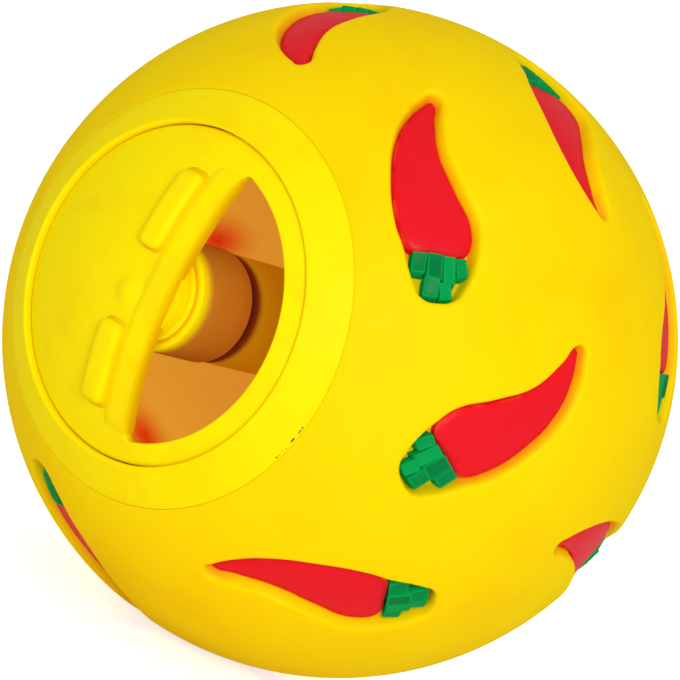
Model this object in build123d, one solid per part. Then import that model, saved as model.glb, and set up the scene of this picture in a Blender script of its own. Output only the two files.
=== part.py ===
from build123d import *
import os
from math import cos, radians, sin, sqrt

# Treat dispensing ball: a hollow vinyl ball with a round mouth, and in the mouth a dial with a window.
# Sizes are in millimetres. The pieces are drawn with the dial's axis along +Z and the window towards +X.
# They are turned at the end, so that the dial faces -Y and its bar stands upright along Z.
# The origin is the ball's centre.

# Ball shell
ball_diameter = 89.0
shell_wall = 3.8
neck_depth = 2.95
neck_margin = 1.4

# Collar round the mouth
collar_band = 4.75
collar_edge_height = 1.6
collar_crest = 0.35
collar_flange = 3.3
collar_skirt = 2.0
snap_bead = 0.7
snap_bead_height = 1.3
snap_gap = 0.2
collar_fit = 0.05
ledge_height = 2.6

# Dial
dial_radius = 21.55
dial_gap = 0.3
dial_thickness = 1.6
dial_drop = 0.6
dial_play = 0.3
window_rim = 2.7
window_edge = 4.5
window_corner = 0.8
bar_width = 3.2
bar_length = 34.6
bar_rise = 0.35
ridge_length = 10.6
ridge_width = 3.5
ridge_rise = 1.6
ridge_corner = 1.1
ridge_spread = 10.4
ridge_offset = -0.9
ridge_round = 0.7
boss_radius = 2.6
boss_rise = 0.35
boss_lean_across = -1.6
boss_lean_along = 1.3

# Pivot: the dial's stud turns in the hub, and a screw with a washer holds it from below
stud_radius = 3.0
running_fit = 0.05
thrust_pad_radius = 5.6
thrust_pad_height = 1.0
thrust_gap = 0.25
axial_play = 0.15
screw_shank = 1.2
screw_length = 9.0
screw_head_radius = 2.6
screw_head_height = 1.8
screw_slot_width = 0.7
screw_slot_depth = 0.8
thread_fit = 0.05
washer_radius = 4.4
washer_thickness = 0.8
washer_bore_fit = 0.1

# Hub and centre post
hub_radius = 7.4
hub_height = 10.3
hub_web = 6.8
hub_disc_radius = 6.35
hub_disc_rise = 0.4
hub_lip_round = 0.4
hub_neck_radius = 6.3
hub_neck_height = 1.3
hub_well_radius = 4.9
spigot_radius = 5.95
spigot_length = 6.0
post_wall = 1.1
post_fit = 0.05
socket_wall = 3.0
socket_height = 4.5
socket_depth = 2.5

# Fixed half-moon shutter under the dial
shutter_thickness = 1.8
shutter_edge = -3.6
shutter_rim = 1.6
shutter_flange_height = 1.4
shutter_fit = 0.1
shutter_hub_gap = 0.3

# Sunken pepper reliefs
pepper_length = 22.0
pepper_width = 10.6
pepper_depth = 2.5
pepper_relief = 1.1
pepper_margin = 0.5
calyx_length = 6.4
calyx_width = 8.6
calyx_relief = 1.3
calyx_corner = 0.4
calyx_gap = 0.3
calyx_pocket_corner = 2.4
pepper_balance = 8.0

# Places of the peppers, in degrees: turn round the dial axis, angle from the dial, heading of the tip,
# and 1 where the pepper is the mirror image. The first nine show from the front, the rest follow on behind.
pepper_places = [
    (49, 53, 75, 1),
    (6, 66, 51, 0),
    (-43, 62, 223, 0),
    (103, 65, 201, 0),
    (-102, 61, 27, 1),
    (63, 89, 258, 0),
    (33, 109, 96, 0),
    (-16, 110, 167, 0),
    (-67, 103, 235, 0),
    (154, 74, 300, 0),
    (-146, 67, 240, 1),
    (109, 103, 60, 0),
    (150, 108, 165, 0),
    (179, 113, 345, 1),
    (-138, 103, 240, 1),
    (-55, 148, 60, 0),
    (45, 150, 100, 1),
    (127, 147, 255, 0),
    (-140, 147, 100, 0),
]

# Outline of a pepper's body as shares of its length and width, from the leafy base to the tip
bowed_shares = [(0.01, 0.33), (0.15, 0.41), (0.38, 0.21), (0.62, 0.03), (0.975, 0.05)]
round_shares = [(0.975, -0.05), (0.75, -0.45), (0.42, -0.6), (0.13, -0.53), (0.01, -0.37)]
base_share = (-0.01, -0.02)
tip_share = (1.0, 0.0)

# Outline of the calyx, as shares of its own length and width: a stalk between two leaves a side
calyx_shares = [
    (0.0, 0.38), (-0.10, 0.50), (-0.34, 0.47), (-0.42, 0.30), (-0.62, 0.27), (-0.96, 0.31), (-1.0, 0.02),
    (-0.93, -0.26), (-0.64, -0.22), (-0.45, -0.30), (-0.34, -0.50), (-0.10, -0.48), (0.0, -0.36),
]

# Sizes that follow from those above
ball_radius = ball_diameter / 2
inner_radius = ball_radius - shell_wall
dial_top = ball_radius - dial_drop
dial_under = dial_top - dial_thickness
seat_sphere = dial_under - dial_play
window_radius = dial_radius - window_rim
collar_inner = dial_radius + dial_gap
collar_outer = collar_inner + collar_band
crest_sphere = ball_radius + collar_crest


def height_on(sphere_radius, radius):
    return sqrt(sphere_radius ** 2 - radius ** 2)


collar_seat = height_on(ball_radius, collar_outer) - collar_edge_height
neck_bottom = collar_seat - neck_depth
neck_radius = collar_outer + neck_margin
skirt_outer = collar_outer - collar_flange
skirt_inner = skirt_outer - collar_skirt
ledge_inner = window_radius + dial_gap + shutter_fit
ledge_bottom = height_on(seat_sphere, ledge_inner) - ledge_height
pad_face = height_on(dial_under, thrust_pad_radius) - thrust_pad_height
hub_disc_top = pad_face - thrust_gap
hub_top = hub_disc_top - hub_disc_rise
hub_bottom = hub_top - hub_height
web_bottom = hub_disc_top - hub_web
stud_end = web_bottom - axial_play
washer_bottom = stud_end - washer_thickness
post_top = hub_bottom - hub_neck_height
socket_top = -inner_radius + socket_height
post_foot = socket_top - socket_depth
post_bore = spigot_radius + post_fit
post_radius = post_bore + post_wall


def ring(outer, inner, low, high):
    wall = Cylinder(outer, high - low, align=(Align.CENTER, Align.CENTER, Align.MIN))
    if inner > 0:
        wall -= Cylinder(inner, high - low, align=(Align.CENTER, Align.CENTER, Align.MIN))
    return Pos(0, 0, low) * wall


def turned(edges):
    return revolve(Plane.XZ * make_face(edges), Axis.Z)


def dome(outer_sphere, inner_sphere, radius):
    cap = Sphere(outer_sphere) - Sphere(inner_sphere)
    return cap & ring(radius, 0, 0, outer_sphere)


# Each pepper has a plane that touches the ball, with x towards its tip
def pepper_plane(place):
    turn, tilt, heading = (radians(angle) for angle in place[:3])
    out = Vector(sin(tilt) * cos(turn), sin(tilt) * sin(turn), cos(tilt))
    away = Vector(cos(tilt) * cos(turn), cos(tilt) * sin(turn), -sin(tilt))
    around = Vector(-sin(turn), cos(turn), 0)
    ahead = away * cos(heading) + around * sin(heading)
    return Plane(origin=(0, 0, 0), x_dir=ahead, z_dir=out)


def pepper_point(share, side, ahead=0, across=0):
    return (share[0] * pepper_length - pepper_balance + ahead, (share[1] * pepper_width + across) * side)


def calyx_point(share, side):
    return (share[0] * calyx_length - pepper_balance - calyx_gap, share[1] * calyx_width * side)


# A margin moves each edge of the outline straight outwards
def pepper_face(side, margin=0):
    bowed = [pepper_point(share, side, 0, margin) for share in bowed_shares]
    rounded = [pepper_point(share, side, 0, -margin) for share in round_shares]
    edges = [
        Spline(bowed),
        ThreePointArc(bowed[-1], pepper_point(tip_share, side, margin), rounded[0]),
        Spline(rounded),
        ThreePointArc(rounded[-1], pepper_point(base_share, side, -margin), bowed[0]),
    ]
    return make_face(edges)


def calyx_face(side):
    outline = make_face(Polyline([calyx_point(share, side) for share in calyx_shares], close=True))
    return fillet(outline.vertices(), calyx_corner)


# The recess follows the body's outline, and is a plain rounded pocket round the calyx
def recess_face(side):
    pocket = RectangleRounded(
        calyx_length + 2 * pepper_margin, calyx_width + 2 * pepper_margin, calyx_pocket_corner)
    pocket_centre = -pepper_balance - calyx_gap - calyx_length / 2
    return pepper_face(side, pepper_margin) + Pos(pocket_centre, 0) * pocket


# A column of the outline, cut to the layer between two spheres round the ball's centre.
# The spheres lie on their sides, so that no pole or seam of theirs falls inside the column.
def layer(plane, face, low, high):
    column = extrude(face, ball_diameter) & Rot(90, 0, 0) * Sphere(high)
    return plane * (column - Rot(90, 0, 0) * Sphere(low))


def make_peppers():
    floor = ball_radius - pepper_depth
    recesses = []
    bodies = []
    calyxes = []
    for place in pepper_places:
        plane = pepper_plane(place)
        side = -1 if place[3] else 1
        recesses.append(layer(plane, recess_face(side), floor, ball_radius + pepper_margin))
        bodies.append(layer(plane, pepper_face(side), floor, floor + pepper_relief))
        calyxes.append(layer(plane, calyx_face(side), floor, floor + calyx_relief))
    return recesses, bodies, calyxes


def make_shell(recesses):
    neck = ring(neck_radius, skirt_outer, neck_bottom, collar_seat)
    socket = ring(post_radius + socket_wall, 0, -ball_radius + shell_wall / 2, socket_top)
    shell = Sphere(ball_radius) - Sphere(inner_radius)
    shell += neck + socket
    shell -= ring(skirt_outer + collar_fit, 0, 0, ball_radius)
    shell -= ring(collar_outer + collar_fit, 0, collar_seat, ball_radius)
    shell -= ring(post_radius + post_fit, 0, post_foot, socket_top)
    return shell - recesses


def make_collar():
    edge_top = height_on(ball_radius, collar_outer)
    crest_in = collar_inner + collar_crest
    crest_mid = (collar_inner + collar_outer) / 2
    lip_top = height_on(crest_sphere, crest_in)
    bead_top = neck_bottom - snap_gap
    skirt_bottom = bead_top - snap_bead_height
    ledge_mid = (collar_inner + ledge_inner) / 2
    crown = Polyline(
        (collar_outer, collar_seat),
        (collar_outer, edge_top),
    )
    outside = ThreePointArc(
        (collar_outer, edge_top),
        (crest_mid, height_on(ball_radius + collar_crest / 2, crest_mid)),
        (crest_in, lip_top),
    )
    lip = Polyline(
        (crest_in, lip_top),
        (collar_inner, lip_top - collar_crest),
        (collar_inner, height_on(seat_sphere, collar_inner)),
    )
    ledge = ThreePointArc(
        (collar_inner, height_on(seat_sphere, collar_inner)),
        (ledge_mid, height_on(seat_sphere, ledge_mid)),
        (ledge_inner, height_on(seat_sphere, ledge_inner)),
    )
    skirt = Polyline(
        (ledge_inner, height_on(seat_sphere, ledge_inner)),
        (ledge_inner, ledge_bottom),
        (skirt_inner, ledge_bottom),
        (skirt_inner, skirt_bottom),
        (skirt_outer, skirt_bottom),
        (skirt_outer + snap_bead, bead_top - snap_bead_height / 2),
        (skirt_outer, bead_top),
        (skirt_outer, collar_seat),
        (collar_outer, collar_seat),
    )
    return turned([crown, outside, lip, ledge, skirt])


def make_shutter():
    under_sphere = seat_sphere - shutter_thickness
    notch = hub_radius + shutter_hub_gap
    rim_outer = ledge_inner - shutter_fit
    rim_inner = rim_outer - shutter_rim
    flange_outer = skirt_inner - shutter_fit
    flange_bottom = ledge_bottom - shutter_flange_height
    mid = (notch + rim_inner) / 2
    top = ThreePointArc(
        (notch, height_on(seat_sphere, notch)),
        (mid, height_on(seat_sphere, mid)),
        (rim_outer, height_on(seat_sphere, rim_outer)),
    )
    rim = Polyline(
        (rim_outer, height_on(seat_sphere, rim_outer)),
        (rim_outer, ledge_bottom),
        (flange_outer, ledge_bottom),
        (flange_outer, flange_bottom),
        (rim_inner, flange_bottom),
        (rim_inner, height_on(under_sphere, rim_inner)),
    )
    underside = ThreePointArc(
        (rim_inner, height_on(under_sphere, rim_inner)),
        (mid, height_on(under_sphere, mid)),
        (notch, height_on(under_sphere, notch)),
    )
    notch_wall = Line((notch, height_on(under_sphere, notch)), (notch, height_on(seat_sphere, notch)))
    plate = turned([top, rim, underside, notch_wall])
    half = Box(ball_diameter, ball_diameter, ball_diameter, align=(Align.MAX, Align.CENTER, Align.CENTER))
    return plate & (Pos(shutter_edge, 0, 0) * half)


def make_dial():
    cap = dome(dial_top, dial_under, dial_radius)
    beyond = Rectangle(window_radius, ball_diameter, align=(Align.MIN, Align.CENTER))
    window = Circle(window_radius) & (Pos(window_edge, 0) * beyond)
    window = fillet(window.vertices(), window_corner)
    cap -= extrude(window, ball_radius)
    bar = extrude(Rectangle(bar_width, bar_length), ball_diameter)
    bar = Pos(window_edge - bar_width / 2, 0, 0) * bar
    cap += (bar & Sphere(dial_top + bar_rise)) - Sphere(dial_under)
    grip = extrude(RectangleRounded(ridge_width, ridge_length, ridge_corner), ball_diameter)
    for way in (-1, 1):
        ridge = Pos(ridge_offset, way * ridge_spread, 0) * grip
        ridge = (ridge & Sphere(dial_top + ridge_rise)) - Sphere(dial_under)
        top_edges = ridge.faces().sort_by(Axis.Z)[-1].edges()
        cap += fillet(top_edges, ridge_round)
    boss_base = height_on(dial_top, boss_radius)
    boss_height = dial_top + boss_rise - boss_base
    boss_sphere = (boss_radius ** 2 + boss_height ** 2) / (2 * boss_height)
    boss = Pos(0, 0, dial_top + boss_rise - boss_sphere) * Sphere(boss_sphere)
    boss &= ring(boss_radius, 0, dial_top - dial_thickness / 2, ball_radius)
    cap += Rot(boss_lean_along, boss_lean_across, 0) * boss
    cap += ring(thrust_pad_radius, 0, pad_face, dial_under)
    cap += ring(stud_radius, 0, stud_end, dial_under)
    pilot_top = washer_bottom + screw_length + axial_play
    return cap - ring(screw_shank + thread_fit, 0, stud_end, pilot_top)


def make_hub():
    hub = ring(hub_radius, 0, hub_bottom, hub_top)
    hub = fillet(hub.edges().group_by(Axis.Z)[-1], hub_lip_round)
    hub += ring(hub_disc_radius, 0, hub_top, hub_disc_top)
    hub += ring(hub_neck_radius, 0, post_top, hub_bottom)
    hub += ring(spigot_radius, 0, post_top - spigot_length, post_top)
    hub -= ring(stud_radius + running_fit, 0, web_bottom, hub_disc_top)
    return hub - ring(hub_well_radius, 0, post_top - spigot_length, web_bottom)


def make_post():
    return ring(post_radius, post_bore, post_foot, post_top)


def make_screw():
    head = ring(screw_head_radius, 0, washer_bottom - screw_head_height, washer_bottom)
    head = fillet(head.edges().group_by(Axis.Z)[0], screw_head_height / 3)
    slot = Box(2 * screw_head_radius, screw_slot_width, screw_slot_depth)
    slot_height = washer_bottom - screw_head_height + screw_slot_depth / 2
    head -= Pos(0, 0, slot_height) * slot
    head -= Pos(0, 0, slot_height) * Rot(0, 0, 90) * slot
    return head + ring(screw_shank, 0, washer_bottom, washer_bottom + screw_length)


def make_washer():
    return ring(washer_radius, screw_shank + washer_bore_fit, washer_bottom, stud_end)


recesses, pepper_bodies, pepper_calyxes = make_peppers()
nodes = {
    "ball_shell": make_shell(recesses),
    "mouth_collar": make_collar(),
    "shutter_plate": make_shutter(),
    "dial_plate": make_dial(),
    "pivot_hub": make_hub(),
    "centre_post": make_post(),
    "pivot_screw": make_screw(),
    "screw_washer": make_washer(),
    "pepper_bodies": Compound([solid for body in pepper_bodies for solid in body.solids()]),
    "pepper_calyxes": Compound([solid for calyx in pepper_calyxes for solid in calyx.solids()]),
}

face_the_front = Rot(90, 0, 0)
os.makedirs("parts", exist_ok=True)
for name, shape in nodes.items():
    export_step(face_the_front * shape, f"parts/{name}.step")
    print(name, len(shape.solids()), "solids", round(shape.volume, 1), "mm3")
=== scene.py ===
import bpy
import bmesh
from math import acos, asin, atan2, cos, pi, radians, sin, sqrt
from mathutils import Matrix, Vector
from mathutils.bvhtree import BVHTree
from mathutils.geometry import intersect_point_line


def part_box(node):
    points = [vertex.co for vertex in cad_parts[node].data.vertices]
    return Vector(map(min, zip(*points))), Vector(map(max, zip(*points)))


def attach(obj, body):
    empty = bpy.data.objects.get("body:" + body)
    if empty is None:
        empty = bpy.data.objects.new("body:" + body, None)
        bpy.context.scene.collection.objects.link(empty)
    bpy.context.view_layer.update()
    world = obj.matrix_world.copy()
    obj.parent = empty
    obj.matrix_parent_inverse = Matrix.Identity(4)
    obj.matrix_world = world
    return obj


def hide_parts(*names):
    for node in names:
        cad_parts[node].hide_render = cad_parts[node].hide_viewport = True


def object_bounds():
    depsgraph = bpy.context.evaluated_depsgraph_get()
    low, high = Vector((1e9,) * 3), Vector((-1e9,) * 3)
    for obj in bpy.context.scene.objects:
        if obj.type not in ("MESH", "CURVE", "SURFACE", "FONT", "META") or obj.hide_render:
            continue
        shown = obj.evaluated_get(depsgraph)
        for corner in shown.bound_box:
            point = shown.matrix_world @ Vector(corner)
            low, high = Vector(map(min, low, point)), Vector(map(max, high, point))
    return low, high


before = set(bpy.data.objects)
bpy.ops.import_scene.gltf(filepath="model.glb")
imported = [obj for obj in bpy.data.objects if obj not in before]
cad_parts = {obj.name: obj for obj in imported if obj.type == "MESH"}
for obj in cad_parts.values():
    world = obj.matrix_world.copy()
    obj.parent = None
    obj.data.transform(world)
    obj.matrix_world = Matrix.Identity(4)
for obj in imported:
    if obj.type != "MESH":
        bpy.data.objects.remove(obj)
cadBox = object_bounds()
mm = 0.001
weld = 0.002 * mm     # points nearer than this become one
print("frame loaded:", sorted(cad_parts))


# Turned pieces are drawn as (radius, height) in mm, with the height along the dial's axis, which is -Y


def heightOn(sphereRadius, radius):
    return sqrt(sphereRadius ** 2 - radius ** 2)


def arcOn(sphereRadius, fromAngle, toAngle, steps):
    angles = [fromAngle + (toAngle - fromAngle) * i / steps for i in range(steps + 1)]
    return [(sphereRadius * sin(a), sphereRadius * cos(a)) for a in angles]


def ease(value, low, high):
    share = min(max((value - low) / (high - low), 0), 1)
    return share * share * (3 - 2 * share)


def spinProfile(bm, profile, around):
    verts = [bm.verts.new((radius * mm, -height * mm, 0)) for radius, height in profile]
    edges = [bm.edges.new(pair) for pair in zip(verts, verts[1:] + verts[:1])]
    bmesh.ops.spin(bm, geom=verts + edges, cent=(0, 0, 0), axis=(0, 1, 0), angle=2 * pi,
                   steps=around, use_merge=True)
    bmesh.ops.remove_doubles(bm, verts=bm.verts, dist=weld)
    alongAxis = [edge for edge in bm.edges if edge.is_wire]
    bmesh.ops.delete(bm, geom=alongAxis, context="EDGES")
    bmesh.ops.recalc_face_normals(bm, faces=bm.faces)


def roundEdges(bm, width, sharpest=radians(35)):
    sharp = [e for e in bm.edges if len(e.link_faces) == 2 and e.calc_face_angle() > sharpest]
    bmesh.ops.bevel(bm, geom=sharp, offset=width * mm, offset_type="OFFSET", affect="EDGES",
                    segments=3, profile=0.5, material=-1, clamp_overlap=True)


def growLoops(bm, loops):
    # each loop is drawn out of the one before it, and an index on the vertices keeps their order
    order = bm.verts.layers.int.get("order") or bm.verts.layers.int.new("order")
    verts = [bm.verts.new(point) for point in loops[0]]
    for i, vert in enumerate(verts):
        vert[order] = i
    firstEdges = [bm.edges.new(pair) for pair in zip(verts, verts[1:] + verts[:1])]
    edges = firstEdges
    for points in loops[1:]:
        grown = bmesh.ops.extrude_edge_only(bm, edges=edges)["geom"]
        for vert in (g for g in grown if isinstance(g, bmesh.types.BMVert)):
            vert.co = points[vert[order]]
        edges = [g for g in grown if isinstance(g, bmesh.types.BMEdge) and g.is_boundary]
    return firstEdges, edges


def outwardNormals(points):
    area = sum(a.x * b.y - b.x * a.y for a, b in zip(points, points[1:] + points[:1]))
    side = 1 if area > 0 else -1
    along = [b - a for a, b in zip(points[-1:] + points[:-1], points[1:] + points[:1])]
    return [Vector((step.y, -step.x, 0)).normalized() * side for step in along]


def finishPiece(bm, name, body, nodes, material):
    mesh = bpy.data.meshes.new(name)
    bm.to_mesh(mesh)
    bm.free()
    mesh.shade_smooth()
    mesh.set_sharp_from_angle(angle=radians(50))
    mesh.materials.append(material)
    piece = bpy.data.objects.new(name, mesh)
    bpy.context.scene.collection.objects.link(piece)
    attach(piece, body)
    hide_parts(*nodes)
    print(name, len(mesh.polygons), "faces")


# Materials. Patterns and relief are given in mm, and roughness from its smoothest to its roughest


def hexColour(text):
    channels = [int(text[i:i + 2], 16) / 255 for i in (1, 3, 5)]
    linear = [c / 12.92 if c <= 0.04045 else ((c + 0.055) / 1.055) ** 2.4 for c in channels]
    return (*linear, 1)


def perMetre(sizeMm):
    return 1 / (sizeMm * mm)


def addNode(tree, kind, settings={}, links={}):
    node = tree.nodes.new(kind)
    for key, value in settings.items():
        if isinstance(key, int) or key in node.inputs:
            node.inputs[key].default_value = value
        else:
            setattr(node, key, value)
    for key, source in links.items():
        tree.links.new(source, node.inputs[key])
    return node


def newMaterial(name):
    material = bpy.data.materials.new(name)
    material.use_nodes = True
    tree = material.node_tree
    tree.nodes.clear()
    shader = addNode(tree, "ShaderNodeBsdfPrincipled")
    addNode(tree, "ShaderNodeOutputMaterial", {}, {"Surface": shader.outputs[0]})
    coords = addNode(tree, "ShaderNodeTexCoord").outputs["Object"]
    return material, tree, shader, coords


def finishSurface(tree, shader, look, coords, patches):
    # a fine unevenness, gloss that follows the patches, and highlights from a thin clear coat alone, because
    # the body's own sheen turned the colours pale at slanting angles
    strength, depth = look["relief"]
    smoothest, roughest = look["roughness"]
    grain = addNode(tree, "ShaderNodeTexNoise", {"Scale": perMetre(look["grain"]), "Detail": 2},
                    {"Vector": coords})
    bump = addNode(tree, "ShaderNodeBump", {"Strength": strength, "Distance": depth * mm},
                   {"Height": grain.outputs["Fac"]})
    gloss = addNode(tree, "ShaderNodeMapRange", {"To Min": smoothest, "To Max": roughest},
                    {"Value": patches})
    tree.links.new(bump.outputs[0], shader.inputs["Normal"])
    tree.links.new(gloss.outputs[0], shader.inputs["Roughness"])
    tree.links.new(gloss.outputs[0], shader.inputs["Coat Roughness"])
    shader.inputs["IOR"].default_value = look["ior"]
    shader.inputs["Specular IOR Level"].default_value = 0
    shader.inputs["Coat Weight"].default_value = look["coat"]


vinylLook = {"colour": "#FED600", "pale": "#FFDA03", "deep": "#FDCF00", "mottle": 16,
             "sprayAndBounceTint": "#F58220", "leafTint": "#C4B81C", "drift": 1.6,     # paint that went astray, and painted red bounce light
             "glow": "#F01808", "daylight": "#FFDD6C", "through": 0.15,       # light through the wall
             "scatter": 0.15, "scatterTint": (1.0, 0.7, 0.2), "scatterDepth": 1.5,
             "grain": 0.9, "relief": (0.05, 0.05), "roughness": (0.44, 0.60), "ior": 1.53, "coat": 0.08}


def softVinyl():
    # Rotation-moulded soft PVC: a waxy satin yellow, faintly mottled, with a fine orange peel in the gloss.
    # Paint has drifted a little into the recesses, their walls are painted orange deeper down for red light
    # bounced off the peppers, and red shows through the wall from inside
    material, tree, shader, coords = newMaterial("softPvcRotomoulded")
    look = vinylLook
    mottle = addNode(tree, "ShaderNodeTexNoise", {"Scale": perMetre(look["mottle"]), "Detail": 3},
                     {"Vector": coords})
    ramp = addNode(tree, "ShaderNodeValToRGB", {}, {"Fac": mottle.outputs["Fac"]})
    stops = ramp.color_ramp.elements
    stops[0].position = 0.30
    stops[0].color = hexColour(look["deep"])
    stops[1].position = 0.72
    stops[1].color = hexColour(look["pale"])
    stops.new(0.45).color = hexColour(look["colour"])
    colour = ramp.outputs["Color"]
    drift = addNode(tree, "ShaderNodeTexNoise", {"Scale": perMetre(look["drift"]), "Detail": 2},
                    {"Vector": coords})
    patchy = addNode(tree, "ShaderNodeMath", {"operation": "MULTIPLY_ADD", 1: 0.9, 2: 0.55},
                     {0: drift.outputs["Fac"]})
    # the red layer is overspray at the rims plus painted red bounce light on the walls; the leaf layer is
    # green paint that drifted
    for layer, tint in (("redSprayAndBounce", "sprayAndBounceTint"), ("leafBlush", "leafTint")):
        amount = addNode(tree, "ShaderNodeAttribute", {"attribute_name": layer})
        strength = addNode(tree, "ShaderNodeMath", {"operation": "MULTIPLY", "use_clamp": True},
                           {0: amount.outputs["Fac"], 1: patchy.outputs[0]})
        mixed = addNode(tree, "ShaderNodeMix", {"data_type": "RGBA", 7: hexColour(look[tint])},
                        {0: strength.outputs[0], 6: colour})
        colour = mixed.outputs[2]
    spots = addNode(tree, "ShaderNodeAttribute", {"attribute_name": "redGlow"})
    glowing = addNode(tree, "ShaderNodeMix", {"data_type": "RGBA", 7: hexColour(look["glow"])},
                      {0: spots.outputs["Fac"], 6: colour})
    tree.links.new(glowing.outputs[2], shader.inputs["Base Color"])
    finishSurface(tree, shader, look, coords, mottle.outputs["Fac"])
    shader.inputs["Subsurface Weight"].default_value = look["scatter"]
    shader.inputs["Subsurface Radius"].default_value = look["scatterTint"]
    shader.inputs["Subsurface Scale"].default_value = look["scatterDepth"] * mm
    # daylight comes through the wall: the inside glows ochre, and red where a pepper lies on the outside
    inside = addNode(tree, "ShaderNodeAttribute", {"attribute_name": "inside"})
    through = addNode(tree, "ShaderNodeMix",
                      {"data_type": "RGBA", 6: hexColour(look["daylight"]), 7: hexColour(look["glow"])},
                      {0: spots.outputs["Fac"]})
    bright = addNode(tree, "ShaderNodeMath", {"operation": "MULTIPLY", 1: look["through"]},
                     {0: inside.outputs["Fac"]})
    tree.links.new(through.outputs[2], shader.inputs["Emission Color"])
    tree.links.new(bright.outputs[0], shader.inputs["Emission Strength"])
    return material


plasticLook = {"colour": "#FEE600", "deep": "#FDDD00", "flow": 9,
               # painted shade for corners, painted amber light inside the ball, and painted shade under the
               # hub
               "paintedShade": "#E6AC00", "amberInsideLight": "#C87F24", "shade": "#7A2A12",
               "dirt": "#6E5A1E", "speck": 1.0, "grooveRadius": 26.42, "grooveWidth": 0.09,
               "speckHeight": -8.8, "speckSpread": 2.8,     # the stretch of groove where the grime lies
               "grain": 0.7, "relief": (0.04, 0.04), "roughness": (0.37, 0.50), "ior": 1.51, "coat": 0.1}


def mouldedPlastic():
    # Injection-moulded LDPE: lemon yellow, softly glossy, with flow mottling, and painted shade in the
    # corners of the ridges, at the bar's edge and round the hub's disc. Inside the ball it is painted amber
    # for the light through the vinyl, the only light that reaches it there, and a few specks of grime lie in
    # the collar's outer groove
    material, tree, shader, coords = newMaterial("ldpeMoulded")
    look = plasticLook
    flow = addNode(tree, "ShaderNodeTexNoise",
                   {"Scale": perMetre(look["flow"]), "Detail": 3, "Distortion": 0.6}, {"Vector": coords})
    share = addNode(tree, "ShaderNodeMapRange", {"From Min": 0.30, "From Max": 0.5},
                    {"Value": flow.outputs["Fac"]})
    base = addNode(tree, "ShaderNodeMix",
                   {"data_type": "RGBA", 6: hexColour(look["deep"]), 7: hexColour(look["colour"])},
                   {0: share.outputs[0]})
    colour = base.outputs[2]
    # painted shade in the corners, then painted amber light and painted shade inside the ball
    for layer in ("paintedShade", "amberInsideLight", "shade"):
        amount = addNode(tree, "ShaderNodeAttribute", {"attribute_name": layer})
        mixed = addNode(tree, "ShaderNodeMix", {"data_type": "RGBA", 7: hexColour(look[layer])},
                        {0: amount.outputs["Fac"], 6: colour})
        colour = mixed.outputs[2]
    split = addNode(tree, "ShaderNodeSeparateXYZ", {}, {0: coords})
    flat = addNode(tree, "ShaderNodeCombineXYZ", {}, {"X": split.outputs["X"], "Y": split.outputs["Z"]})
    radius = addNode(tree, "ShaderNodeVectorMath", {"operation": "LENGTH"}, {0: flat.outputs[0]})
    inGroove = addNode(tree, "ShaderNodeMath",
                       {"operation": "COMPARE", 1: look["grooveRadius"] * mm, 2: look["grooveWidth"] * mm},
                       {0: radius.outputs["Value"]})
    atHeight = addNode(tree, "ShaderNodeMath",
                       {"operation": "COMPARE", 1: look["speckHeight"] * mm, 2: look["speckSpread"] * mm},
                       {0: split.outputs["Z"]})
    windowSide = addNode(tree, "ShaderNodeMath", {"operation": "GREATER_THAN", 1: 0},
                         {0: split.outputs["X"]})
    specks = addNode(tree, "ShaderNodeTexNoise", {"Scale": perMetre(look["speck"]), "Detail": 4},
                     {"Vector": coords})
    few = addNode(tree, "ShaderNodeMapRange", {"From Min": 0.5, "From Max": 0.55},
                  {"Value": specks.outputs["Fac"]})
    grime = few.outputs[0]
    for limit in (inGroove, atHeight, windowSide):
        kept = addNode(tree, "ShaderNodeMath", {"operation": "MULTIPLY"}, {0: grime, 1: limit.outputs[0]})
        grime = kept.outputs[0]
    dirty = addNode(tree, "ShaderNodeMix", {"data_type": "RGBA", 7: hexColour(look["dirt"])},
                    {0: grime, 6: colour})
    tree.links.new(dirty.outputs[2], shader.inputs["Base Color"])
    finishSurface(tree, shader, look, coords, flow.outputs["Fac"])
    return material


# the orange is a painted highlight along the shoulder of each pepper
redLook = {"colour": "#E2121B", "light": "#E51628", "shoulderGlint": "#F04A28", "pool": 3.0,
           "grain": 1.8, "relief": (0.25, 0.12), "roughness": (0.20, 0.40), "ior": 1.5, "coat": 0.18}


def redPaint():
    # Sprayed vinyl paint: a dense glossy red that pooled unevenly, with a painted orange highlight along the
    # shoulder
    material, tree, shader, coords = newMaterial("redVinylPaintSprayed")
    look = redLook
    pool = addNode(tree, "ShaderNodeTexNoise", {"Scale": perMetre(look["pool"]), "Detail": 3},
                   {"Vector": coords})
    base = addNode(tree, "ShaderNodeMix",
                   {"data_type": "RGBA", 6: hexColour(look["colour"]), 7: hexColour(look["light"])},
                   {0: pool.outputs["Fac"]})
    # painted highlight along the shoulder, broken up by the pooled paint
    shoulderGlint = addNode(tree, "ShaderNodeAttribute", {"attribute_name": "shoulderGlintAmount"})
    glintPatches = addNode(tree, "ShaderNodeMapRange", {"From Min": 0.42, "From Max": 0.6},
                   {"Value": pool.outputs["Fac"]})
    amount = addNode(tree, "ShaderNodeMath", {"operation": "MULTIPLY", "use_clamp": True},
                     {0: shoulderGlint.outputs["Fac"], 1: glintPatches.outputs[0]})
    shown = addNode(tree, "ShaderNodeMix", {"data_type": "RGBA", 7: hexColour(look["shoulderGlint"])},
                    {0: amount.outputs[0], 6: base.outputs[2]})
    tree.links.new(shown.outputs[2], shader.inputs["Base Color"])
    finishSurface(tree, shader, look, coords, pool.outputs["Fac"])
    return material


# the deep green is painted shade for the leaflets' tops
greenLook = {"colour": "#00A04D", "deep": "#006B37", "pool": 2.2,
             "grain": 0.9, "relief": (0.2, 0.08), "roughness": (0.20, 0.40), "ior": 1.5, "coat": 0.1}


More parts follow.
